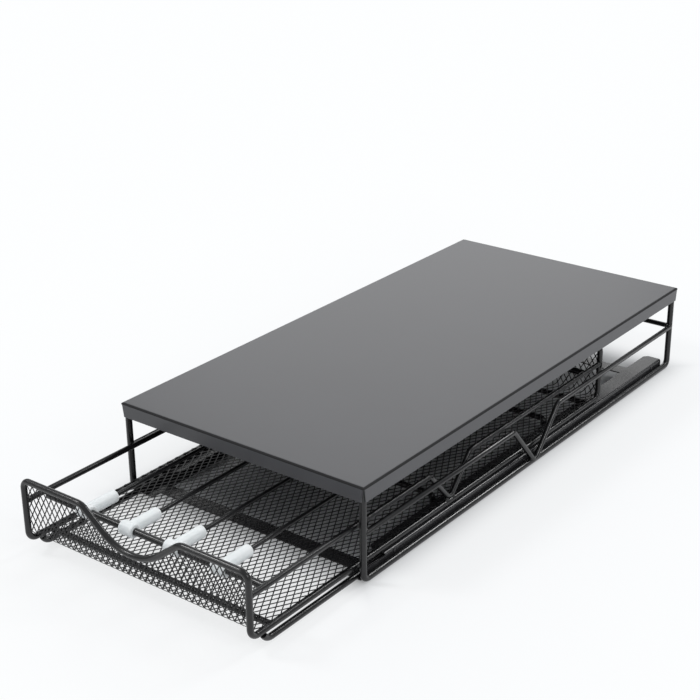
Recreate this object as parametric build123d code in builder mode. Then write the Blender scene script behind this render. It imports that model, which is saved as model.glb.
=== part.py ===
# Coffee pod drawer: a folded sheet platform on bent wire hoops, over a wire basket
# with an expanded metal tray that slides out towards -Y on two C-channel rails.
# Four plastic-ended divider rods slide sideways on two crossbars and make five lanes.
# X runs across, Y from front to rear, Z up from the worktop. The origin is on the
# worktop, midway along the whole object with the drawer standing partly open.
from build123d import *
from math import acos, atan, cos, degrees, tan
import os

os.makedirs("parts", exist_ok=True)

# ---- platform sheet
platform_width = 265.0
platform_length = 539.4
platform_height = 88.9
skirt_depth = 13.5
platform_sheet = 1.0
platform_bend = 2.0
corner_gap = 2.8
corner_flare = 8.0

# ---- platform wires
post_wire = 6.0
post_clearance = 0.1
hoop_bend = 6.0
mid_wire = 5.0
mid_wire_height = 46.5
mid_vee_width = 77.0
mid_vee_centre = 265.5
mid_vee_bend = 6.0
mid_vee_floor_bend = 7.0
weld_gap = 0.05

# ---- slide rails and straps
rail_sheet = 1.2
rail_height = 10.7
rail_depth = 18.0
rail_bend = 2.0
rail_front_inset = 6.0
rail_rear_inset = 12.4
rail_lip_start = 38.0
rail_corner_cut = 4.0
strap_width = 15.0
front_strap_inset = 16.0
rear_strap_inset = 53.0
rivet_diameter = 3.2
rivet_height = 0.9
rivet_front_inset = 50.0
rivet_vee_offset = 16.5
rivet_rear_inset = 34.4

# ---- drawer wires
drawer_wire = 5.5
drawer_side_gap = 1.85
drawer_closed_inset = 0.25
drawer_pull = 126.7
drawer_length = 528.2
rim_height = 72.15
rim_corner = 7.0
base_bend = 8.0
rail_running_gap = 0.35
runner_running_gap = 0.3
runner_nose_bend = 10.0
runner_nose_setback = 15.0

# ---- finger dip in the front rim
dip_depth = 27.6
dip_mouth = 106.0
dip_floor = 34.2
dip_shoulder_bend = 13.0

# ---- side rims
side_rim_wire = 5.0
side_rim_height = 50.1
side_vee_width = 61.0
side_vee_centre = 264.0
side_vee_bend = 6.0
side_vee_floor_bend = 6.5

# ---- floor wires
floor_wire_front_inset = 26.5
floor_wire_rear_inset = 22.0
hanger_rear_inset = 76.2
hanger_bend = 4.5
hanger_lip_gap = 1.2

# ---- expanded metal tray
tray_sheet = 1.2
tray_gap = 0.05
tray_border = 5.0
mesh_long = 34.0
mesh_short = 20.0
mesh_strand = 2.2
panel_mesh_long = 20.0
panel_mesh_short = 13.0
panel_mesh_strand = 1.8

# ---- dividers
divider_bar = 6.0
divider_bar_height = 46.5
divider_bar_inset = 24.95
lane_count = 5
lane_pitch = 48.8
divider_rod = 4.0
tee_hub_length = 14.0
tee_hub_diameter = 12.0
tee_hub_edge = 1.0
tee_barrel_diameter = 10.8
tee_barrel_edge = 1.4
tee_reach = 32.6
tee_bar_clearance = 0.07
tee_rod_clearance = 0.05
tee_socket_floor = 6.5

# ---- stations that follow from the sizes above
reach = drawer_pull - drawer_closed_inset
overall_length = platform_length + reach
front = reach - overall_length / 2
rear = front + platform_length
inner_corner = platform_sheet + post_clearance + post_wire / 2
post_x = platform_width / 2 - inner_corner
post_front_y = front + inner_corner
post_rear_y = rear - inner_corner
hoop_floor = post_wire / 2
post_top = platform_height - platform_sheet

rail_outer_x = post_x - post_wire / 2 - post_clearance
rail_inner_x = rail_outer_x - rail_depth
rail_front_y = front + rail_front_inset
rail_rear_y = rear - rail_rear_inset

drawer_front = front - reach
drawer_rear = drawer_front + drawer_length
drawer_x = post_x - post_wire / 2 - drawer_side_gap - drawer_wire / 2
rim_front_y = drawer_front + drawer_wire / 2
rim_rear_y = drawer_rear - drawer_wire / 2
rim_top = rim_height - drawer_wire / 2
base_z = rail_height + rail_running_gap + drawer_wire / 2
runner_z = rail_sheet + runner_running_gap + drawer_wire / 2
arch_foot = base_z + base_bend

tray_bottom = base_z + drawer_wire / 2 + tray_gap
tray_floor = tray_bottom + tray_sheet / 2
tray_wall_inset = drawer_wire / 2 + tray_gap + tray_sheet / 2
tray_front_y = rim_front_y + tray_wall_inset
tray_rear_y = rim_rear_y - tray_wall_inset
fold_radius = base_bend - tray_wall_inset
fold_front_y = tray_front_y + fold_radius
fold_rear_y = tray_rear_y - fold_radius

side_inner_x = drawer_x - side_rim_wire / 2
bar_front_y = drawer_front + divider_bar_inset
bar_rear_y = drawer_rear - divider_bar_inset
divider_xs = [(i + 1 - lane_count / 2) * lane_pitch for i in range(lane_count - 1)]

sides = {"left": -1, "right": 1}


# Where the two legs of a V would cross, so that its rounded tip comes down to `floor`.
def vee_apex(height, floor, width, bend):
    apex = floor
    for _ in range(6):
        slope = atan(2 * (height - apex) / width)
        apex = floor - bend * (1 / cos(slope) - 1)
    return apex


# ======================================================= platform frame

# Sheet top folded down into four skirts that stop short of each corner.
with BuildPart() as top_panel:
    with BuildSketch(Plane.XY.offset(platform_height - skirt_depth)):
        with Locations((0, (front + rear) / 2)):
            Rectangle(platform_width, platform_length)
    extrude(amount=skirt_depth)
    top_face = top_panel.faces().sort_by(Axis.Z)[-1]
    fillet(top_face.edges(), radius=platform_bend)
    open_face = top_panel.faces().sort_by(Axis.Z)[0]
    offset(amount=-platform_sheet, openings=open_face)
    with BuildSketch(Plane.XY.offset(platform_height - skirt_depth)):
        with Locations((0, (front + rear) / 2)):
            with GridLocations(platform_width, platform_length, 2, 2):
                Rectangle(2 * corner_gap, 2 * corner_gap)
    extrude(amount=skirt_depth - platform_bend, taper=corner_flare, mode=Mode.SUBTRACT)
top_panel.part.label = "top_panel"
export_step(top_panel.part, "parts/top_panel.step")

# One wire per side: front post, bottom side wire and rear post.
for side, sign in sides.items():
    with BuildPart() as side_hoop:
        with BuildLine(Plane.YZ.offset(sign * post_x)):
            hoop_path = FilletPolyline(
                (post_front_y, post_top),
                (post_front_y, hoop_floor),
                (post_rear_y, hoop_floor),
                (post_rear_y, post_top),
                radius=hoop_bend,
            )
        with BuildSketch(Plane(origin=hoop_path @ 0, z_dir=hoop_path % 0)):
            Circle(post_wire / 2)
        sweep()
        post_ends = side_hoop.faces().filter_by(Plane.XY)
        fillet(post_ends.edges(), radius=platform_bend - platform_sheet + post_clearance)
    side_hoop.part.label = f"side_hoop_{side}"
    export_step(side_hoop.part, f"parts/side_hoop_{side}.step")

# Side mid wire from post to post, with a V whose tip is welded to the bottom side wire.
mid_vee_y = front + mid_vee_centre
mid_vee_floor = hoop_floor + post_wire / 2 + weld_gap + mid_wire / 2
mid_vee_apex = vee_apex(mid_wire_height, mid_vee_floor, mid_vee_width, mid_vee_floor_bend)
for side, sign in sides.items():
    with BuildPart() as mid:
        with BuildLine(Plane.YZ.offset(sign * post_x)):
            mid_path = FilletPolyline(
                (post_front_y + post_wire / 2 + weld_gap, mid_wire_height),
                (mid_vee_y - mid_vee_width / 2, mid_wire_height),
                (mid_vee_y, mid_vee_apex),
                (mid_vee_y + mid_vee_width / 2, mid_wire_height),
                (post_rear_y - post_wire / 2 - weld_gap, mid_wire_height),
                radius=(mid_vee_bend, mid_vee_floor_bend, mid_vee_bend),
            )
        with BuildSketch(Plane(origin=mid_path @ 0, z_dir=mid_path % 0)):
            Circle(mid_wire / 2)
        sweep()
    mid.part.label = f"mid_wire_{side}"
    export_step(mid.part, f"parts/mid_wire_{side}.step")

# Rear wire between the two rear posts, at the height of the side mid wires.
cross_half = post_x - post_wire / 2 - weld_gap
with BuildPart() as rear_cross_wire:
    with BuildSketch(Plane.YZ.offset(-cross_half)):
        with Locations((post_rear_y, mid_wire_height)):
            Circle(mid_wire / 2)
    extrude(amount=2 * cross_half)
rear_cross_wire.part.label = "rear_cross_wire"
export_step(rear_cross_wire.part, "parts/rear_cross_wire.step")

# C-channel rail, open towards the middle. The upper lip starts behind the front so
# that the raised nose of the runner clears it when the drawer is shut.
rail_length = rail_rear_y - rail_front_y
for side, sign in sides.items():
    with BuildPart() as rail:
        with BuildSketch(Plane.XZ.offset(-rail_front_y)):
            with BuildLine():
                channel_line = FilletPolyline(
                    (sign * rail_inner_x, rail_sheet / 2),
                    (sign * (rail_outer_x - rail_sheet / 2), rail_sheet / 2),
                    (sign * (rail_outer_x - rail_sheet / 2), rail_height - rail_sheet / 2),
                    (sign * rail_inner_x, rail_height - rail_sheet / 2),
                    radius=rail_bend - rail_sheet / 2,
                )
            trace(line_width=rail_sheet)
        extrude(amount=-rail_length)
        lip_edge_x = sign * rail_inner_x
        lip_back = rail_lip_start - rail_front_inset
        with BuildSketch(Plane.XY.offset(rail_height)):
            with BuildLine():
                Polyline(
                    (lip_edge_x - sign, rail_front_y - 1),
                    (lip_edge_x - sign, rail_front_y + lip_back + rail_corner_cut),
                    (lip_edge_x, rail_front_y + lip_back + rail_corner_cut),
                    (lip_edge_x + sign * rail_corner_cut, rail_front_y + lip_back),
                    (sign * (rail_outer_x + 1), rail_front_y + lip_back),
                    (sign * (rail_outer_x + 1), rail_front_y - 1),
                    close=True,
                )
            make_face()
        extrude(amount=-rail_bend, mode=Mode.SUBTRACT)
        with BuildSketch(Plane.XY.offset(rail_height)):
            with BuildLine():
                Polyline(
                    (lip_edge_x - sign, rail_rear_y + 1),
                    (lip_edge_x - sign, rail_rear_y - rail_corner_cut),
                    (lip_edge_x, rail_rear_y - rail_corner_cut),
                    (lip_edge_x + sign * rail_corner_cut, rail_rear_y),
                    (lip_edge_x + sign * rail_corner_cut, rail_rear_y + 1),
                    close=True,
                )
            make_face()
        extrude(amount=-rail_bend, mode=Mode.SUBTRACT)
    rail.part.label = f"rail_{side}"
    export_step(rail.part, f"parts/rail_{side}.step")

# Flat straps that tie the rails: the front one at the lower lips, the rear one at the
# upper lips.
strap_levels = {
    "front_strap": (0, front + front_strap_inset),
    "rear_strap": (rail_height - rail_sheet, rear - rear_strap_inset - strap_width),
}
for name, (level, start) in strap_levels.items():
    with BuildPart() as strap:
        with BuildSketch(Plane.XY.offset(level)):
            with Locations((0, start + strap_width / 2)):
                Rectangle(2 * rail_inner_x, strap_width)
        extrude(amount=rail_sheet)
    strap.part.label = name
    export_step(strap.part, f"parts/{name}.step")

# Rivet heads on the outside of each rail, just above the bottom side wire: one near
# each end and one just behind the V of the mid wire.
rivet_z = (2 * hoop_floor + rail_height - rail_bend / 2) / 2
rivet_ys = (
    front + rivet_front_inset,
    mid_vee_y + rivet_vee_offset,
    rear - rivet_rear_inset,
)
with BuildPart() as rail_rivets:
    for sign in sides.values():
        with BuildSketch(Plane.YZ.offset(sign * rail_outer_x)):
            for rivet_y in rivet_ys:
                with Locations((rivet_y, rivet_z)):
                    Circle(rivet_diameter / 2)
        extrude(amount=sign * rivet_height)
    outer_rims = rail_rivets.edges().filter_by(GeomType.CIRCLE).group_by(Axis.X)
    fillet(outer_rims[0] + outer_rims[-1], radius=rivet_height * 0.6)
rail_rivets.part.label = "rail_rivets"
export_step(rail_rivets.part, "parts/rail_rivets.step")


# ============================================================== drawer

# Front rim wire: two uprights, rounded top corners and the finger dip.
dip_slope = atan(2 * dip_depth / (dip_mouth - dip_floor))
dip_floor_bend = 0.48 * dip_floor / tan(dip_slope / 2)
front_rim_points = [
    (-drawer_x, arch_foot),
    (-drawer_x, rim_top),
    (-dip_mouth / 2, rim_top),
    (-dip_floor / 2, rim_top - dip_depth),
    (dip_floor / 2, rim_top - dip_depth),
    (dip_mouth / 2, rim_top),
    (drawer_x, rim_top),
    (drawer_x, arch_foot),
]
front_rim_bends = [
    rim_corner,
    dip_shoulder_bend,
    dip_floor_bend,
    dip_floor_bend,
    dip_shoulder_bend,
    rim_corner,
]
with BuildPart() as front_rim:
    with BuildLine(Plane.XZ.offset(-rim_front_y)):
        front_rim_path = FilletPolyline(front_rim_points, radius=front_rim_bends)
    with BuildSketch(Plane(origin=front_rim_path @ 0, z_dir=front_rim_path % 0)):
        Circle(drawer_wire / 2)
    sweep()
front_rim.part.label = "front_rim"
export_step(front_rim.part, "parts/front_rim.step")

# Rear rim wire: the same arch without the dip.
rear_rim_points = [
    (-drawer_x, arch_foot),
    (-drawer_x, rim_top),
    (drawer_x, rim_top),
    (drawer_x, arch_foot),
]
with BuildPart() as rear_rim:
    with BuildLine(Plane.XZ.offset(-rim_rear_y)):
        rear_rim_path = FilletPolyline(rear_rim_points, radius=rim_corner)
    with BuildSketch(Plane(origin=rear_rim_path @ 0, z_dir=rear_rim_path % 0)):
        Circle(drawer_wire / 2)
    sweep()
rear_rim.part.label = "rear_rim"
export_step(rear_rim.part, "parts/rear_rim.step")

# Base wires: one along each side, turned up at both ends to meet the rims.
for side, sign in sides.items():
    with BuildPart() as base_wire:
        with BuildLine(Plane.YZ.offset(sign * drawer_x)):
            front_turn = CenterArc(
                (rim_front_y + base_bend, arch_foot), base_bend, 180, 90
            )
            Line(front_turn @ 1, (rim_rear_y - base_bend, base_z))
            CenterArc((rim_rear_y - base_bend, arch_foot), base_bend, 270, 90)
        with BuildSketch(Plane(origin=front_turn @ 0, z_dir=front_turn % 0)):
            Circle(drawer_wire / 2)
        sweep()
    base_wire.part.label = f"base_wire_{side}"
    export_step(base_wire.part, f"parts/base_wire_{side}.step")

# Side rims: from upright to upright, with a V that comes down onto the base wire.
side_vee_y = drawer_front + side_vee_centre
side_vee_floor = base_z + drawer_wire / 2 + weld_gap + side_rim_wire / 2
side_vee_apex = vee_apex(
    side_rim_height, side_vee_floor, side_vee_width, side_vee_floor_bend
)
for side, sign in sides.items():
    with BuildPart() as side_rim:
        with BuildLine(Plane.YZ.offset(sign * drawer_x)):
            side_rim_path = FilletPolyline(
                (rim_front_y + drawer_wire / 2 + weld_gap, side_rim_height),
                (side_vee_y - side_vee_width / 2, side_rim_height),
                (side_vee_y, side_vee_apex),
                (side_vee_y + side_vee_width / 2, side_rim_height),
                (rim_rear_y - drawer_wire / 2 - weld_gap, side_rim_height),
                radius=(side_vee_bend, side_vee_floor_bend, side_vee_bend),
            )
        with BuildSketch(Plane(origin=side_rim_path @ 0, z_dir=side_rim_path % 0)):
            Circle(side_rim_wire / 2)
        sweep()
    side_rim.part.label = f"side_rim_{side}"
    export_step(side_rim.part, f"parts/side_rim_{side}.step")

# Runners: straight wires that slide in the channels. The nose turns up in front of the
# channel until it touches the underside of the base wire.
nose_y = rim_front_y + base_bend + runner_nose_setback
nose_room = runner_z + runner_nose_bend - (base_z - drawer_wire / 2 - weld_gap)
nose_turn = degrees(acos(nose_room / (runner_nose_bend - drawer_wire / 2)))
runner_tail_y = fold_rear_y
for side, sign in sides.items():
    with BuildPart() as runner:
        with BuildLine(Plane.YZ.offset(sign * drawer_x)):
            nose = CenterArc(
                (nose_y, runner_z + runner_nose_bend),
                runner_nose_bend,
                270 - nose_turn,
                nose_turn,
            )
            Line(nose @ 1, (runner_tail_y, runner_z))
        with BuildSketch(Plane(origin=nose @ 0, z_dir=nose % 0)):
            Circle(drawer_wire / 2)
        sweep()
        tail_face = runner.faces().sort_by(Axis.Y)[-1]
        fillet(tail_face.edges(), radius=drawer_wire * 0.3)
    runner.part.label = f"runner_{side}"
    export_step(runner.part, f"parts/runner_{side}.step")

# Straight wires under the floor near both ends, from base wire to base wire.
floor_wire_ys = {
    "floor_wire_front": drawer_front + floor_wire_front_inset,
    "floor_wire_rear": drawer_rear - floor_wire_rear_inset,
}
floor_wire_half = drawer_x - drawer_wire / 2 - weld_gap
for name, wire_y in floor_wire_ys.items():
    with BuildPart() as floor_wire:
        with BuildSketch(Plane.YZ.offset(-floor_wire_half)):
            with Locations((wire_y, base_z)):
                Circle(drawer_wire / 2)
        extrude(amount=2 * floor_wire_half)
    floor_wire.part.label = name
    export_step(floor_wire.part, f"parts/{name}.step")

# Hangers: floor wires that step down beside the channel lips and reach in under them
# to carry the runners.
hanger_x = rail_inner_x - hanger_lip_gap - drawer_wire / 2
hanger_ys = {
    "hanger_middle": side_vee_y,
    "hanger_rear": drawer_rear - hanger_rear_inset,
}
for name, hanger_y in hanger_ys.items():
    with BuildPart() as hanger:
        with BuildLine(Plane.XZ.offset(-hanger_y)):
            hanger_path = FilletPolyline(
                (-floor_wire_half, runner_z),
                (-hanger_x, runner_z),
                (-hanger_x, base_z),
                (hanger_x, base_z),
                (hanger_x, runner_z),
                (floor_wire_half, runner_z),
                radius=hanger_bend,
            )
        with BuildSketch(Plane(origin=hanger_path @ 0, z_dir=hanger_path % 0)):
            Circle(drawer_wire / 2)
        sweep()
    hanger.part.label = name
    export_step(hanger.part, f"parts/{name}.step")

# Expanded metal floor: staggered diamonds inside a plain border, notched where the
# side rims come down to the base wires.
floor_length = fold_rear_y - fold_front_y
floor_mid_y = (fold_front_y + fold_rear_y) / 2
notch_reach = drawer_x - side_inner_x + weld_gap
notch_length = 2 * (side_vee_floor_bend + side_rim_wire)
rows = int((floor_length - 2 * tray_border) / mesh_long)
columns = int((2 * side_inner_x - 2 * tray_border) / mesh_short)
diamond = [
    (0, mesh_long / 2 - mesh_strand),
    (mesh_short / 2 - mesh_strand, 0),
    (0, mesh_strand - mesh_long / 2),
    (mesh_strand - mesh_short / 2, 0),
]
with BuildPart() as floor_mesh:
    with BuildSketch(Plane.XY.offset(tray_bottom)):
        with Locations((0, floor_mid_y)):
            Rectangle(2 * drawer_x, floor_length)
            with GridLocations(mesh_short, mesh_long, columns, rows):
                Polygon(diamond, mode=Mode.SUBTRACT)
            with GridLocations(mesh_short, mesh_long, columns - 1, rows - 1):
                Polygon(diamond, mode=Mode.SUBTRACT)
        with Locations((-drawer_x, side_vee_y), (drawer_x, side_vee_y)):
            Rectangle(2 * notch_reach, notch_length, mode=Mode.SUBTRACT)
    extrude(amount=tray_sheet)
floor_mesh.part.label = "floor_mesh"
export_step(floor_mesh.part, "parts/floor_mesh.step")

# Front panel and rear wall: the same sheet folded up inside the bends of the base
# wires, trimmed to the line of each rim and notched where the side rims pass.
panel_height = rim_top - arch_foot
panel_rows = 1 + int((panel_height - 2 * tray_border) / panel_mesh_long)
panel_columns = int((2 * drawer_x - 2 * tray_border) / panel_mesh_short)
panel_diamond = [
    (0, panel_mesh_long / 2 - panel_mesh_strand),
    (panel_mesh_short / 2 - panel_mesh_strand, 0),
    (0, panel_mesh_strand - panel_mesh_long / 2),
    (panel_mesh_strand - panel_mesh_short / 2, 0),
]
notch_height = side_rim_wire + 2 * weld_gap
walls = {
    "front_mesh": (tray_front_y, fold_front_y, front_rim_points, front_rim_bends),
    "rear_mesh": (tray_rear_y, fold_rear_y, rear_rim_points, rim_corner),
}
for name, (wall_y, fold_y, outline, bends) in walls.items():
    wall_plane = Plane.XZ.offset(-wall_y)
    with BuildSketch(wall_plane) as panel:
        with BuildLine():
            panel_edge = FilletPolyline(outline, radius=bends)
            Line(panel_edge @ 1, panel_edge @ 0)
        make_face()
    with BuildPart() as wall:
        with BuildLine(Plane.YZ) as fold_line:
            upright = Line((wall_y, rim_top), (wall_y, tray_floor + fold_radius))
            RadiusArc(
                upright @ 1,
                (fold_y, tray_floor),
                fold_radius if fold_y < wall_y else -fold_radius,
            )
        with BuildSketch(Plane(origin=upright @ 0, x_dir=(1, 0, 0), z_dir=upright % 0)):
            Rectangle(2 * drawer_x, tray_sheet)
        sweep(path=fold_line.wire())
        with BuildSketch(wall_plane):
            with BuildLine():
                edge_line = FilletPolyline(outline, radius=bends)
                Polyline(edge_line @ 1, (drawer_x, 0), (-drawer_x, 0), edge_line @ 0)
            make_face()
        extrude(amount=fold_radius + tray_sheet, both=True, mode=Mode.INTERSECT)
        with BuildSketch(wall_plane):
            with Locations((0, arch_foot + panel_height / 2)):
                with GridLocations(
                    panel_mesh_short, panel_mesh_long, panel_columns, panel_rows
                ):
                    Polygon(panel_diamond)
                with GridLocations(
                    panel_mesh_short, panel_mesh_long, panel_columns + 1, panel_rows + 1
                ):
                    Polygon(panel_diamond)
            offset(panel.sketch_local, amount=-tray_border, mode=Mode.INTERSECT)
        extrude(amount=tray_sheet, both=True, mode=Mode.SUBTRACT)
        with BuildSketch(wall_plane):
            with Locations((-drawer_x, side_rim_height), (drawer_x, side_rim_height)):
                Rectangle(2 * notch_reach, notch_height)
        extrude(amount=tray_sheet, both=True, mode=Mode.SUBTRACT)
    wall.part.label = name
    export_step(wall.part, f"parts/{name}.step")

# Crossbars that carry the dividers, from side rim to side rim.
bar_half = side_inner_x - weld_gap
for name, bar_y in {"front": bar_front_y, "rear": bar_rear_y}.items():
    with BuildPart() as bar:
        with BuildSketch(Plane.YZ.offset(-bar_half)):
            with Locations((bar_y, divider_bar_height)):
                Circle(divider_bar / 2)
        extrude(amount=2 * bar_half)
    bar.part.label = f"divider_bar_{name}"
    export_step(bar.part, f"parts/divider_bar_{name}.step")


# ============================================================ dividers

# Each divider is a rod pushed into two plastic tees whose hubs slide on the crossbars.
for number, divider_x in enumerate(divider_xs, start=1):
    with BuildPart() as rod:
        rod_front_y = bar_front_y + tee_socket_floor + tee_rod_clearance
        rod_rear_y = bar_rear_y - tee_socket_floor - tee_rod_clearance
        with BuildSketch(Plane.XZ.offset(-rod_front_y)):
            with Locations((divider_x, divider_bar_height)):
                Circle(divider_rod / 2)
        extrude(amount=rod_front_y - rod_rear_y)
    rod.part.label = f"divider_rod_{number}"
    export_step(rod.part, f"parts/divider_rod_{number}.step")

    for name, (bar_y, inward) in {
        "front": (bar_front_y, 1),
        "rear": (bar_rear_y, -1),
    }.items():
        hub_plane = Plane.YZ.offset(divider_x - tee_hub_length / 2)
        barrel_plane = Plane(
            origin=(divider_x, bar_y, divider_bar_height),
            x_dir=(1, 0, 0),
            z_dir=(0, inward, 0),
        )
        with BuildPart() as tee:
            with BuildSketch(hub_plane):
                with Locations((bar_y, divider_bar_height)):
                    Circle(tee_hub_diameter / 2)
            extrude(amount=tee_hub_length)
            fillet(tee.edges().filter_by(GeomType.CIRCLE), radius=tee_hub_edge)
            with BuildSketch(barrel_plane):
                Circle(tee_barrel_diameter / 2)
            extrude(amount=tee_reach)
            barrel_end = tee.faces().sort_by(Axis.Y)[-1 if inward > 0 else 0]
            fillet(barrel_end.edges(), radius=tee_barrel_edge)
            with BuildSketch(hub_plane):
                with Locations((bar_y, divider_bar_height)):
                    Circle(divider_bar / 2 + tee_bar_clearance)
            extrude(amount=tee_hub_length, mode=Mode.SUBTRACT)
            with BuildSketch(barrel_plane.offset(tee_socket_floor)):
                Circle(divider_rod / 2 + tee_rod_clearance)
            extrude(amount=tee_reach - tee_socket_floor, mode=Mode.SUBTRACT)
        tee.part.label = f"tee_{name}_{number}"
        export_step(tee.part, f"parts/tee_{name}_{number}.step")
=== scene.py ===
# Dresses the coffee pod drawer: camera and light, the true expanded metal of the
# tray, the bent wires, the plastic tees and the powder coat.
import math

import bmesh
import bpy
from mathutils import Matrix, Vector


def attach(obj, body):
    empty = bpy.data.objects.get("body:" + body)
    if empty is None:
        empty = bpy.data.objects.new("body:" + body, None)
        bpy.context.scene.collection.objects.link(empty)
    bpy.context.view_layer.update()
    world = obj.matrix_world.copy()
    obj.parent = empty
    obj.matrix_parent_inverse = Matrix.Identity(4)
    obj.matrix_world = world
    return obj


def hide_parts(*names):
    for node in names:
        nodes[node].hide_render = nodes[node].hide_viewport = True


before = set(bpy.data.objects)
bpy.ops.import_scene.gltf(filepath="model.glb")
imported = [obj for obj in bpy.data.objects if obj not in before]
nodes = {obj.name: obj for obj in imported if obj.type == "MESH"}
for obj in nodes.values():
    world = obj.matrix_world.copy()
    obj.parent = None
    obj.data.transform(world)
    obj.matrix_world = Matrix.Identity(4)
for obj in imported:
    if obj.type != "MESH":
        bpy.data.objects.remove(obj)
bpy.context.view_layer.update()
print("frame loaded:", len(nodes), "pieces")


view = {  # angles in radians, lens and sensor in millimetres
    "place": (0.75015, -1.021195, 0.64353),
    "azimuth": 0.6580,
    "elevation": 0.4048,
    "roll": -0.0107,
    "lens": 77.16,
    "sensor": 36,
    "nearest": 0.05,
    "farthest": 50,
}


def placeCamera(v):
    az, el, roll = v["azimuth"], v["elevation"], v["roll"]
    back = Vector(
        (math.sin(az) * math.cos(el), -math.cos(az) * math.cos(el), math.sin(el))
    )
    right = Vector((math.cos(az), math.sin(az), 0))
    up = back.cross(right)
    across = right * math.cos(roll) + up * math.sin(roll)
    upright = up * math.cos(roll) - right * math.sin(roll)
    data = bpy.data.cameras.new("photoCamera")
    data.lens = v["lens"]
    data.sensor_width = v["sensor"]
    data.clip_start = v["nearest"]
    data.clip_end = v["farthest"]
    camera = bpy.data.objects.new("photoCamera", data)
    turn = Matrix((across, upright, back)).transposed().to_4x4()
    camera.matrix_world = Matrix.Translation(v["place"]) @ turn
    bpy.context.scene.collection.objects.link(camera)
    bpy.context.scene.camera = camera


lamps = {  # round soft lamps, power in watts
    "overheadLamp": {
        "place": (0.6, 1.45, 1.4),
        "target": (0, 0, 0.03),
        "size": 0.55,
        "power": 12,
    },
    "leftLamp": {
        "place": (-1.05, -0.85, 1.5),
        "target": (0, 0, 0.03),
        "size": 0.45,
        "power": 9,
    },
    "backLamp": {
        "place": (-1.3, 1.8, 0.9),
        "target": (0, 0, 0.05),
        "size": 1.6,
        "power": 5.5,
    },
    "frontLamp": {
        "place": (-0.9, -1.7, 0.9),
        "target": (0, -0.2, 0.03),
        "size": 0.7,
        "power": 2.5,
    },
    "sideLamp": {
        "place": (1.45, -0.4, 1.0),
        "target": (0, 0.05, 0.03),
        "size": 0.35,
        "power": 4,
    },
}


def softLamp(name, s):
    data = bpy.data.lights.new(name, "AREA")
    data.shape = "DISK"
    data.size = s["size"]
    data.energy = s["power"]
    lamp = bpy.data.objects.new(name, data)
    lamp.location = s["place"]
    aim = Vector(s["target"]) - Vector(s["place"])
    lamp.rotation_euler = aim.to_track_quat("-Z", "Y").to_euler()
    bpy.context.scene.collection.objects.link(lamp)


placeCamera(view)
for lampName, lampSettings in lamps.items():
    softLamp(lampName, lampSettings)
bpy.context.scene.view_settings.view_transform = "Standard"
print("camera and lamps placed")


class Reading:
    # a socket that can be added, multiplied and so on
    def __init__(self, tree, socket):
        self.tree = tree
        self.socket = socket

    def maths(self, operation, first, second=None):
        node = self.tree.nodes.new("ShaderNodeMath")
        node.operation = operation
        for index, value in enumerate((first, second)):
            if isinstance(value, Reading):
                self.tree.links.new(value.socket, node.inputs[index])
            elif value is not None:
                node.inputs[index].default_value = value
        return Reading(self.tree, node.outputs[0])

    def __add__(self, other):
        return self.maths("ADD", self, other)

    def __radd__(self, other):
        return self.maths("ADD", other, self)

    def __sub__(self, other):
        return self.maths("SUBTRACT", self, other)

    def __rsub__(self, other):
        return self.maths("SUBTRACT", other, self)

    def __mul__(self, other):
        return self.maths("MULTIPLY", self, other)

    def __rmul__(self, other):
        return self.maths("MULTIPLY", other, self)

    def above(self, edge):
        return self.maths("GREATER_THAN", self, edge)

    def size(self):
        return self.maths("ABSOLUTE", self)

    def orMore(self, other):
        return self.maths("MAXIMUM", self, other)

    def output(self, name):
        # another output of the same node
        return Reading(self.tree, self.socket.node.outputs[name])


class Nodes:
    # one node tree
    def __init__(self, tree):
        self.tree = tree

    def node(self, kind, settings=None, values=None, out=0):
        made = self.tree.nodes.new(kind)
        for key, value in (settings or {}).items():
            if key == "stops":
                for element, (at, colour) in zip(made.color_ramp.elements, value):
                    element.position = at
                    element.color = colour
            else:
                setattr(made, key, value)
        for key, value in (values or {}).items():
            if isinstance(value, Reading):
                self.tree.links.new(value.socket, made.inputs[key])
            else:
                made.inputs[key].default_value = value
        return Reading(self.tree, made.outputs[out])

    def here(self):
        # Object coordinates
        return self.node("ShaderNodeTexCoord", out=3)

    def blend(self, share, first, second):
        # a colour between two others, by the colour sockets of a Mix node
        return self.node(
            "ShaderNodeMix",
            {"data_type": "RGBA"},
            {0: share, 6: first, 7: second},
            out=2,
        )


class Finish(Nodes):
    # one material
    def __init__(self, name):
        self.material = bpy.data.materials.new(name)
        self.material.use_nodes = True
        super().__init__(self.material.node_tree)
        self.shader = self.tree.nodes["Principled BSDF"]
        self.output = self.tree.nodes["Material Output"]

    def feed(self, **sockets):
        names = {
            "baseColor": "Base Color",
            "roughness": "Roughness",
            "normal": "Normal",
            "coat": "Coat Weight",
            "coatRoughness": "Coat Roughness",
            "specular": "Specular IOR Level",
            "subsurface": "Subsurface Weight",
            "subsurfaceRadius": "Subsurface Radius",
            "subsurfaceScale": "Subsurface Scale",
        }
        for key, value in sockets.items():
            socket = self.shader.inputs[names[key]]
            if isinstance(value, Reading):
                self.tree.links.new(value.socket, socket)
            else:
                socket.default_value = value
        return self.material


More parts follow.
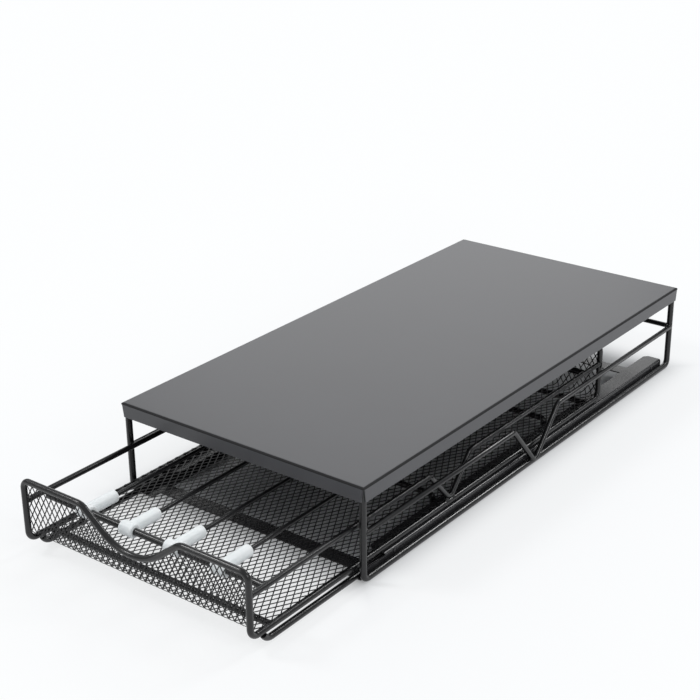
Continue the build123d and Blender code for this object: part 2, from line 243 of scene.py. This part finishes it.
def powderCoat(name, c):
    # dark paint with a fine orange peel and cloudy patches of tone and gloss
    finish = Finish(name)
    here = finish.here()
    peel = finish.node(
        "ShaderNodeTexNoise",
        values={"Vector": here, "Scale": c["peelScale"], "Detail": c["peelDetail"]},
    )
    cloud = finish.node(
        "ShaderNodeTexNoise",
        values={"Vector": here, "Scale": c["cloudScale"], "Detail": c["cloudDetail"]},
    )
    rub = (cloud - 0.5) * c["rub"]  # a noise is 0.5 on average
    deepFrom, paleFrom = c["cloudStops"]
    colour = finish.node(
        "ShaderNodeValToRGB",
        {"stops": [(deepFrom, c["deep"]), (paleFrom, c["pale"])]},
        {"Fac": cloud},
    )
    if "fold" in c:
        # painted shade: the band at the folded edge is painted as a near black line,
        # and is made duller
        height = finish.node("ShaderNodeSeparateXYZ", values={0: here}, out=2)
        low, high = c["fold"]
        line = height.above(low) * (1 - height.above(high))
        rub = rub + line * c["foldRoughness"]
        # painted shade along the fold
        colour = finish.blend(line, colour, c["foldShadeColour"])
    bump = finish.node(
        "ShaderNodeBump",
        values={"Strength": c["peel"], "Distance": c["peelDepth"], "Height": peel},
    )
    return finish.feed(
        baseColor=colour,
        roughness=rub + c["roughness"],
        normal=bump,
        coat=c["coat"],
        coatRoughness=c["coatRoughness"],
        specular=c["specular"],
    )


platformCoat = {
    "deep": (0.050, 0.051, 0.056, 1),
    "pale": (0.060, 0.061, 0.067, 1),
    "peelScale": 1400,
    "peelDetail": 2.0,
    "cloudScale": 9,
    "cloudDetail": 3.0,
    "cloudStops": (0.3, 0.7),
    "peel": 0.12,
    "peelDepth": 0.0002,
    "rub": 0.06,
    "roughness": 0.30,
    "coat": 0.0,
    "coatRoughness": 0.3,
    "specular": 0.5,
    "fold": (0.08710, 0.08880),  # from and to this height, the band of painted shade along the fold
    "foldRoughness": 0.45,  # added to the roughness
    # painted shade: the near black colour of the fold band
    "foldShadeColour": (0.004, 0.004, 0.005, 1),
}
wireCoat = {
    "deep": (0.004, 0.004, 0.0045, 1),
    "pale": (0.009, 0.009, 0.010, 1),
    "peelScale": 1800,
    "peelDetail": 2.0,
    "cloudScale": 60,
    "cloudDetail": 3.0,
    "cloudStops": (0.3, 0.7),
    "peel": 0.15,
    "peelDepth": 0.0002,
    "rub": 0.10,
    "roughness": 0.24,
    "coat": 0.0,
    "coatRoughness": 0.3,
    "specular": 0.5,
}
meshCoat = dict(wireCoat, roughness=0.4, specular=0.3)
railCoat = dict(
    wireCoat,
    deep=(0.022, 0.022, 0.024, 1),
    pale=(0.032, 0.032, 0.034, 1),
)
platformPaint = powderCoat("platformPaint", platformCoat)
wirePaint = powderCoat("wirePaint", wireCoat)
meshPaint = powderCoat("meshPaint", meshCoat)
railPaint = powderCoat("railPaint", railCoat)


teeMilk = {
    "dull": (0.84, 0.89, 0.90, 1),
    "bright": (0.90, 0.93, 0.94, 1),
    "flowScale": 120.0,
    "flowDetail": 2.0,
    "flowStops": (0.25, 0.75),
    "ripple": 0.1,
    "rippleDepth": 0.0002,
    "roughness": 0.3,
    "flowRoughness": 0.15,  # added where the flow is strongest
    "milk": 0.35,
    "milkRadius": (1.0, 1.0, 1.0),
    "milkDepth": 0.004,
}


def milkyPlastic(m):
    finish = Finish("milkyPlastic")
    flow = finish.node(
        "ShaderNodeTexNoise",
        values={
            "Vector": finish.here(),
            "Scale": m["flowScale"],
            "Detail": m["flowDetail"],
        },
    )
    dullFrom, brightFrom = m["flowStops"]
    colour = finish.node(
        "ShaderNodeValToRGB",
        {"stops": [(dullFrom, m["dull"]), (brightFrom, m["bright"])]},
        {"Fac": flow},
    )
    bump = finish.node(
        "ShaderNodeBump",
        values={"Strength": m["ripple"], "Distance": m["rippleDepth"], "Height": flow},
    )
    return finish.feed(
        baseColor=colour,
        roughness=m["roughness"] + flow * m["flowRoughness"],
        normal=bump,
        subsurface=m["milk"],
        subsurfaceRadius=m["milkRadius"],
        subsurfaceScale=m["milkDepth"],
    )


teePlastic = milkyPlastic(teeMilk)
print("finishes made")


tray = {  # one sheet of expanded metal, folded up at front and rear
    "halfWidth": 0.1208,
    "wallTop": 0.0694,
    "sheet": 0.00045,
    "frontY": -0.326775,
    "rearY": 0.189125,
    "floorZ": 0.0172,
    "foldRadius": 0.0046,
    "foldLines": 5,
    "longDiamond": 0.0108,
    "shortDiamond": 0.0062,
    "strand": 0.00085,
    "spareCells": 2,
    "onPlane": 1e-7,
    "mergeWithin": 0.00002,
}
frontRim = {  # half widths, heights and bends; the dip is for the fingers
    "halfWidth": 0.1208,
    "foot": 0.0218,
    "top": 0.0694,
    "dipDepth": 0.0276,
    "dipMouth": 0.0530,
    "dipFloor": 0.0171,
    "dipRound": 0.48,  # share of the dip's floor that each of its bends takes up
    "corner": 0.0070,
    "shoulder": 0.0130,
    "shortestSpan": 1e-6,
}


def roundedLine(points, bends, steps=10):
    # the points of a line in a plane with its corners rounded
    line = [Vector(points[0])]
    for before, corner, after, bend in zip(points, points[1:], points[2:], bends):
        corner = Vector(corner)
        back = (Vector(before) - corner).normalized()
        onward = (Vector(after) - corner).normalized()
        half = back.angle(onward) / 2
        centre = corner + (back + onward).normalized() * bend / math.sin(half)
        start = corner + back * bend / math.tan(half) - centre
        end = corner + onward * bend / math.tan(half) - centre
        for step in range(steps + 1):
            share = step / steps
            line.append(centre + start.slerp(end, share).normalized() * bend)
    line.append(Vector(points[-1]))
    return line


def frontRimCorners(r):
    slope = math.atan(r["dipDepth"] / (r["dipMouth"] - r["dipFloor"]))
    floorBend = r["dipRound"] * 2 * r["dipFloor"] / math.tan(slope / 2)
    low = r["top"] - r["dipDepth"]
    points = [
        (-r["halfWidth"], 0, r["foot"]),
        (-r["halfWidth"], 0, r["top"]),
        (-r["dipMouth"], 0, r["top"]),
        (-r["dipFloor"], 0, low),
        (r["dipFloor"], 0, low),
        (r["dipMouth"], 0, r["top"]),
        (r["halfWidth"], 0, r["top"]),
        (r["halfWidth"], 0, r["foot"]),
    ]
    dip = [r["shoulder"], floorBend, floorBend, r["shoulder"]]
    return points, [r["corner"]] + dip + [r["corner"]]


def trayLengths(t):
    # the flat lengths of a wall, a fold and the floor
    wall = t["wallTop"] - t["floorZ"] - t["foldRadius"]
    arc = t["foldRadius"] * math.pi / 2
    floor = t["rearY"] - t["frontY"] - 2 * t["foldRadius"]
    return wall, arc, floor


def foldTray(t, flat):
    # from a length along the flat sheet, counted from the front wall's top, to y, z
    wall, arc, floor = trayLengths(t)
    r = t["foldRadius"]
    if flat < wall:
        return t["frontY"], t["wallTop"] - flat
    flat -= wall
    if flat < arc:
        turn = flat / r
        return (
            t["frontY"] + r - r * math.cos(turn),
            t["floorZ"] + r - r * math.sin(turn),
        )
    flat -= arc
    if flat < floor:
        return t["frontY"] + r + flat, t["floorZ"]
    flat -= floor
    if flat < arc:
        turn = flat / r
        return (
            t["rearY"] - r + r * math.sin(turn),
            t["floorZ"] + r - r * math.cos(turn),
        )
    return t["rearY"], t["floorZ"] + r + flat - arc


def trim(mesh, place, outward, faces=None, clear=True):
    # cuts a sheet, or some of its faces, by a plane and clears what lies outside
    if faces is None:
        geometry = mesh.verts[:] + mesh.edges[:] + mesh.faces[:]
    else:
        edges = dict.fromkeys(e for f in faces for e in f.edges)
        corners = dict.fromkeys(v for f in faces for v in f.verts)
        geometry = [*corners, *edges, *faces]  # in the same order each run
    bmesh.ops.bisect_plane(
        mesh,
        geom=geometry,
        plane_co=place,
        plane_no=outward,
        dist=tray["onPlane"],
        clear_outer=clear,
        clear_inner=False,
    )


def expandedSheet(t, length):
    # a flat sheet of diamonds, from a grid that stands on its corners
    along = length / t["longDiamond"]
    across = 2 * t["halfWidth"] / t["shortDiamond"]
    cells = math.ceil(along + across) + t["spareCells"]
    sheet = bmesh.new()
    bmesh.ops.create_grid(sheet, x_segments=cells, y_segments=cells, size=cells / 2)
    turn = Matrix.Rotation(math.pi / 4, 3, "Z")
    bmesh.ops.rotate(sheet, verts=sheet.verts, matrix=turn)
    stretch = (t["shortDiamond"] / math.sqrt(2), t["longDiamond"] / math.sqrt(2), 1)
    bmesh.ops.scale(sheet, verts=sheet.verts, vec=stretch)
    bmesh.ops.translate(sheet, verts=sheet.verts, vec=(0, length / 2, 0))
    diamonds = sheet.faces[:]
    bmesh.ops.inset_individual(
        sheet, faces=diamonds, thickness=t["strand"] / 2, use_even_offset=True
    )
    bmesh.ops.delete(sheet, geom=diamonds, context="FACES")
    trim(sheet, (t["halfWidth"], 0, 0), (1, 0, 0))
    trim(sheet, (-t["halfWidth"], 0, 0), (-1, 0, 0))
    trim(sheet, (0, 0, 0), (0, -1, 0))
    trim(sheet, (0, length, 0), (0, 1, 0))
    return sheet


def cutToRim(sheet, t, wall):
    # cuts the front wall along the rim, one short span of its line at a time
    corners, bends = frontRimCorners(frontRim)
    rimLine = roundedLine(corners, bends)
    for start, end in zip(rimLine, rimLine[1:]):
        if end.x - start.x < frontRim["shortestSpan"]:
            continue
        for x in (start.x, end.x):
            near = [
                f
                for f in sheet.faces
                if min(v.co.y for v in f.verts) < wall
                and min(v.co.x for v in f.verts) < x < max(v.co.x for v in f.verts)
            ]
            trim(sheet, (x, 0, 0), (1, 0, 0), near, clear=False)
        span = [
            f
            for f in sheet.faces
            if start.x < f.calc_center_median().x < end.x
            and min(v.co.y for v in f.verts) < wall
        ]
        rise = (end.z - start.z) / (end.x - start.x)
        trim(sheet, (start.x, t["wallTop"] - start.z, 0), (-rise, -1, 0), span)


def makeTray(t):
    wall, arc, floor = trayLengths(t)
    length = 2 * wall + 2 * arc + floor
    sheet = expandedSheet(t, length)
    for start in (wall, length - wall - arc):  # lines for the strands to bend at
        for step in range(t["foldLines"]):
            along = start + arc * step / (t["foldLines"] - 1)
            trim(sheet, (0, along, 0), (0, 1, 0), clear=False)
    cutToRim(sheet, t, wall)
    for vert in sheet.verts:
        y, z = foldTray(t, vert.co.y)
        vert.co = (vert.co.x, y, z)
    bmesh.ops.remove_doubles(sheet, verts=sheet.verts, dist=t["mergeWithin"])
    bmesh.ops.dissolve_degenerate(sheet, edges=sheet.edges, dist=t["mergeWithin"])
    bmesh.ops.recalc_face_normals(sheet, faces=sheet.faces)
    return sheet


def keep(name, mesh, paint, body, stands=(), smooth=True):
    # makes a finished piece of a mesh and sets it on its body
    data = bpy.data.meshes.new(name)
    mesh.to_mesh(data)
    mesh.free()
    data.materials.append(paint)
    for polygon in data.polygons:
        polygon.use_smooth = smooth
    piece = bpy.data.objects.new(name, data)
    bpy.context.scene.collection.objects.link(piece)
    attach(piece, body)
    if stands:
        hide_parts(*stands)
    return piece


trayPiece = keep(
    "meshTray",
    makeTray(tray),
    meshPaint,
    "drawer",
    ("floor_mesh", "front_mesh", "rear_mesh"),
    smooth=False,
)
thickness = trayPiece.modifiers.new("thickness", "SOLIDIFY")
thickness.thickness = tray["sheet"]
thickness.offset = 0
print("tray made:", len(trayPiece.data.polygons), "faces")


midWire = {  # its V is pressed and welded into the bottom side wire
    "x": 0.1294,
    "wire": 0.0050,
    "sides": 20,
    "endSoft": 0.12,  # chamfer of the ends, as a share of the wire
    "front": -0.2024,
    "rear": 0.3288,
    "height": 0.0459,
    "veeCentre": 0.059025,
    "veeHalfWidth": 0.0385,
    "veeFloor": 0.0040,
    "shoulder": 0.0060,
    "tip": 0.0050,
    "bendSteps": 8,
    "tipRounds": 6,  # times that the apex is worked out again
}


def bentWire(line, m, across):
    # a round wire along a line in a plane, with chamfered ends
    radius = m["wire"] / 2
    soft = m["wire"] * m["endSoft"]
    stations = []
    for index, place in enumerate(line):
        before = line[max(index - 1, 0)]
        after = line[min(index + 1, len(line) - 1)]
        stations.append((place, (after - before).normalized(), radius))
    (head, headWay, _), (tail, tailWay, _) = stations[0], stations[-1]
    stations[0] = (head + headWay * soft, headWay, radius)
    stations[-1] = (tail - tailWay * soft, tailWay, radius)
    stations.insert(0, (head, headWay, radius - soft))
    stations.append((tail, tailWay, radius - soft))
    tube = bmesh.new()
    circle = bmesh.ops.create_circle(
        tube, cap_ends=False, radius=1, segments=m["sides"]
    )
    loops = []
    for place, ahead, reach in stations:
        side = across.cross(ahead).normalized()
        axes = Matrix((across, side, ahead)).transposed().to_4x4()
        aim = Matrix.Translation(place) @ axes @ Matrix.Scale(reach, 4)
        if loops:
            last = loops[-1]
            made = bmesh.ops.extrude_edge_only(tube, edges=last["edges"])["geom"]
            ring = [g for g in made if isinstance(g, bmesh.types.BMVert)]
            edges = [
                g
                for g in made
                if isinstance(g, bmesh.types.BMEdge) and all(v in ring for v in g.verts)
            ]
            undo = last["aim"].inverted()
            bmesh.ops.transform(tube, verts=ring, matrix=undo)
            bmesh.ops.transform(tube, verts=ring, matrix=aim)
        else:
            edges = list(tube.edges)
            bmesh.ops.transform(tube, verts=circle["verts"], matrix=aim)
        loops.append({"edges": edges, "aim": aim})
    ends = loops[0]["edges"] + loops[-1]["edges"]
    bmesh.ops.holes_fill(tube, edges=ends, sides=0)
    bmesh.ops.recalc_face_normals(tube, faces=tube.faces)
    return tube


def veeLine(m, x):
    # the apex is worked out so that the rounded tip comes down to veeFloor
    apex = m["veeFloor"]
    for _ in range(m["tipRounds"]):
        slope = math.atan((m["height"] - apex) / m["veeHalfWidth"])
        apex = m["veeFloor"] - m["tip"] * (1 / math.cos(slope) - 1)
    points = [
        (x, m["front"], m["height"]),
        (x, m["veeCentre"] - m["veeHalfWidth"], m["height"]),
        (x, m["veeCentre"], apex),
        (x, m["veeCentre"] + m["veeHalfWidth"], m["height"]),
        (x, m["rear"], m["height"]),
    ]
    bends = [m["shoulder"], m["tip"], m["shoulder"]]
    return roundedLine(points, bends, m["bendSteps"])


for side, sign in (("left", -1), ("right", 1)):
    keep(
        "sideMidWire_" + side,
        bentWire(veeLine(midWire, sign * midWire["x"]), midWire, Vector((1, 0, 0))),
        wirePaint,
        "frame",
        ("mid_wire_" + side,),
    )
print("side mid wires made")


weldBead = {  # slightly uneven blobs, each turned a little by where it lies
    "smallAt": ("tips", "bars"),
    "small": 0.86,
    "narrow": 0.92,
    "sway": 0.7,
    "swayAlong": 91,
    "swayUp": 7,
    "subdivisions": 2,
}
frameWelds = {  # the places on the right side, mirrored to the left
    "bead": 0.0031,
    "places": {
        "ends": [
            (0.1287, -0.1995, 0.0465),
            (0.1287, 0.3259, 0.0465),
            (0.1255, 0.3288, 0.0465),
        ],
        "tips": [(0.1292, 0.0535, 0.0062), (0.1292, 0.0645, 0.0062)],
    },
}
drawerWelds = {
    "bead": 0.0030,
    "places": {
        "ends": [(0.1208, -0.3274, 0.0501), (0.1208, 0.1898, 0.0501)],
        "tips": [(0.1208, -0.0735, 0.0166), (0.1208, -0.0643, 0.0166)],
        "bars": [(0.1188, -0.3080, 0.0485), (0.1188, 0.1703, 0.0485)],
        "floor": [(0.1183, -0.3064, 0.0138), (0.1183, 0.1733, 0.0138)],
    },
}


def makeBeads(welds, w):
    beads = bmesh.new()
    stretch = Matrix.Diagonal((w["narrow"], 1.0, 1.0, 1.0))
    for group, places in welds["places"].items():
        size = welds["bead"] * (w["small"] if group in w["smallAt"] else 1.0)
        for x, y, z in places:
            sway = w["sway"] * math.sin(w["swayAlong"] * y + w["swayUp"] * z)
            turn = Matrix.Rotation(sway, 4, "X")
            for sign in (-1, 1):
                at = Matrix.Translation((sign * x, y, z)) @ turn @ stretch
                bmesh.ops.create_icosphere(
                    beads, subdivisions=w["subdivisions"], radius=size, matrix=at
                )
    return beads


for weldName, welds, body in (
    ("frameWelds", frameWelds, "frame"),
    ("drawerWelds", drawerWelds, "drawer"),
):
    keep(weldName, makeBeads(welds, weldBead), wirePaint, body)
print("welds made")


def paintFor(name):
    # the paint of a piece that is carried over from the solids
    if name == "top_panel":
        return platformPaint
    if name.startswith("tee_"):
        return teePlastic
    if name.startswith("rail_") or name.endswith("_strap"):
        return railPaint
    return wirePaint


for name, node in nodes.items():
    node.data.materials.clear()
    node.data.materials.append(paintFor(name))
print("pieces painted")


stage = {  # the floor, with a painted shadow under the platform
    "halfWidth": 0.1325,
    "halfLength": 0.2697,
    "centreY": 0.0632,
    "edge": 0.03,
    "fade": 0.4,
    "beside": 0.72,  # share of plain white right beside the platform
    "paintedShadow": (0.52, 0.53, 0.54, 1),
    "pale": (0.90, 0.91, 0.93, 1),
    "roughness": 0.9,
    "white": (0.985, 0.995, 1.0, 1),
    "reach": 6,
}
room = {  # brighter overhead than at eye level
    "colour": (0.97, 0.985, 1.0, 1),
    "horizon": 0.25,
    "zenith": 0.6,
    "bright": 0.4,  # full brightness from this height of the view ray
}


def floorFinish(g):
    # turns plain white further off, for camera, glossy and transmission rays; under the
    # platform it gets a darker colour and no glow, a painted shadow
    finish = Finish("paleFloor")
    seen = finish.node("ShaderNodeLightPath").output("Is Camera Ray")
    anyView = (
        seen + seen.output("Is Glossy Ray") + seen.output("Is Transmission Ray")
    )
    across = finish.node("ShaderNodeSeparateXYZ", values={0: finish.here()})
    aside = across.size() - g["halfWidth"]
    along = (across.output("Y") - g["centreY"]).size() - g["halfLength"]
    away = aside.orMore(along)  # distance from the platform's footprint
    outside = finish.node(
        "ShaderNodeMapRange",
        {"interpolation_type": "SMOOTHSTEP"},
        {"Value": away, "From Min": -g["edge"], "From Max": g["edge"]},
    )
    far = finish.node(
        "ShaderNodeMapRange",
        {"interpolation_type": "SMOOTHSTEP"},
        {
            "Value": away,
            "From Min": g["edge"],
            "From Max": g["fade"],
            "To Min": 0.0,
            "To Max": 1.0 - g["beside"],
        },
    )
    # painted shadow: a darker colour under the platform's footprint
    finish.feed(
        baseColor=finish.blend(outside, g["paintedShadow"], g["pale"]),
        roughness=g["roughness"],
        specular=0.0,
    )
    glow = finish.node(
        "ShaderNodeEmission", values={"Color": g["white"], "Strength": 1.0}
    )
    # no glow under the platform and less right beside it, so the painted and real shade
    # there shows
    both = finish.node(
        "ShaderNodeMixShader",
        values={
            0: anyView * (outside * g["beside"] + far),
            1: Reading(finish.tree, finish.shader.outputs[0]),
            2: glow,
        },
    )
    finish.tree.links.new(both.socket, finish.output.inputs["Surface"])
    return finish.material


def paleFloor(g):
    ground = bmesh.new()
    bmesh.ops.create_grid(ground, x_segments=1, y_segments=1, size=g["reach"])
    data = bpy.data.meshes.new("paleFloor")
    ground.to_mesh(data)
    ground.free()
    data.materials.append(floorFinish(g))
    floor = bpy.data.objects.new("paleFloor", data)
    bpy.context.scene.collection.objects.link(floor)


def paleRoom(r):
    world = bpy.data.worlds.new("paleRoom")
    world.use_nodes = True
    sky = Nodes(world.node_tree)
    background = sky.tree.nodes["Background"]
    background.inputs["Color"].default_value = r["colour"]
    direction = sky.node("ShaderNodeTexCoord").output("Generated")
    height = sky.node("ShaderNodeSeparateXYZ", values={0: direction}, out=2)
    strength = sky.node(
        "ShaderNodeMapRange",
        {"interpolation_type": "SMOOTHSTEP"},
        {
            "Value": height,
            "From Min": 0.0,
            "From Max": r["bright"],
            "To Min": r["horizon"],
            "To Max": r["zenith"],
        },
    )
    sky.tree.links.new(strength.socket, background.inputs["Strength"])
    bpy.context.scene.world = world


paleFloor(stage)
paleRoom(room)
print("stage set")
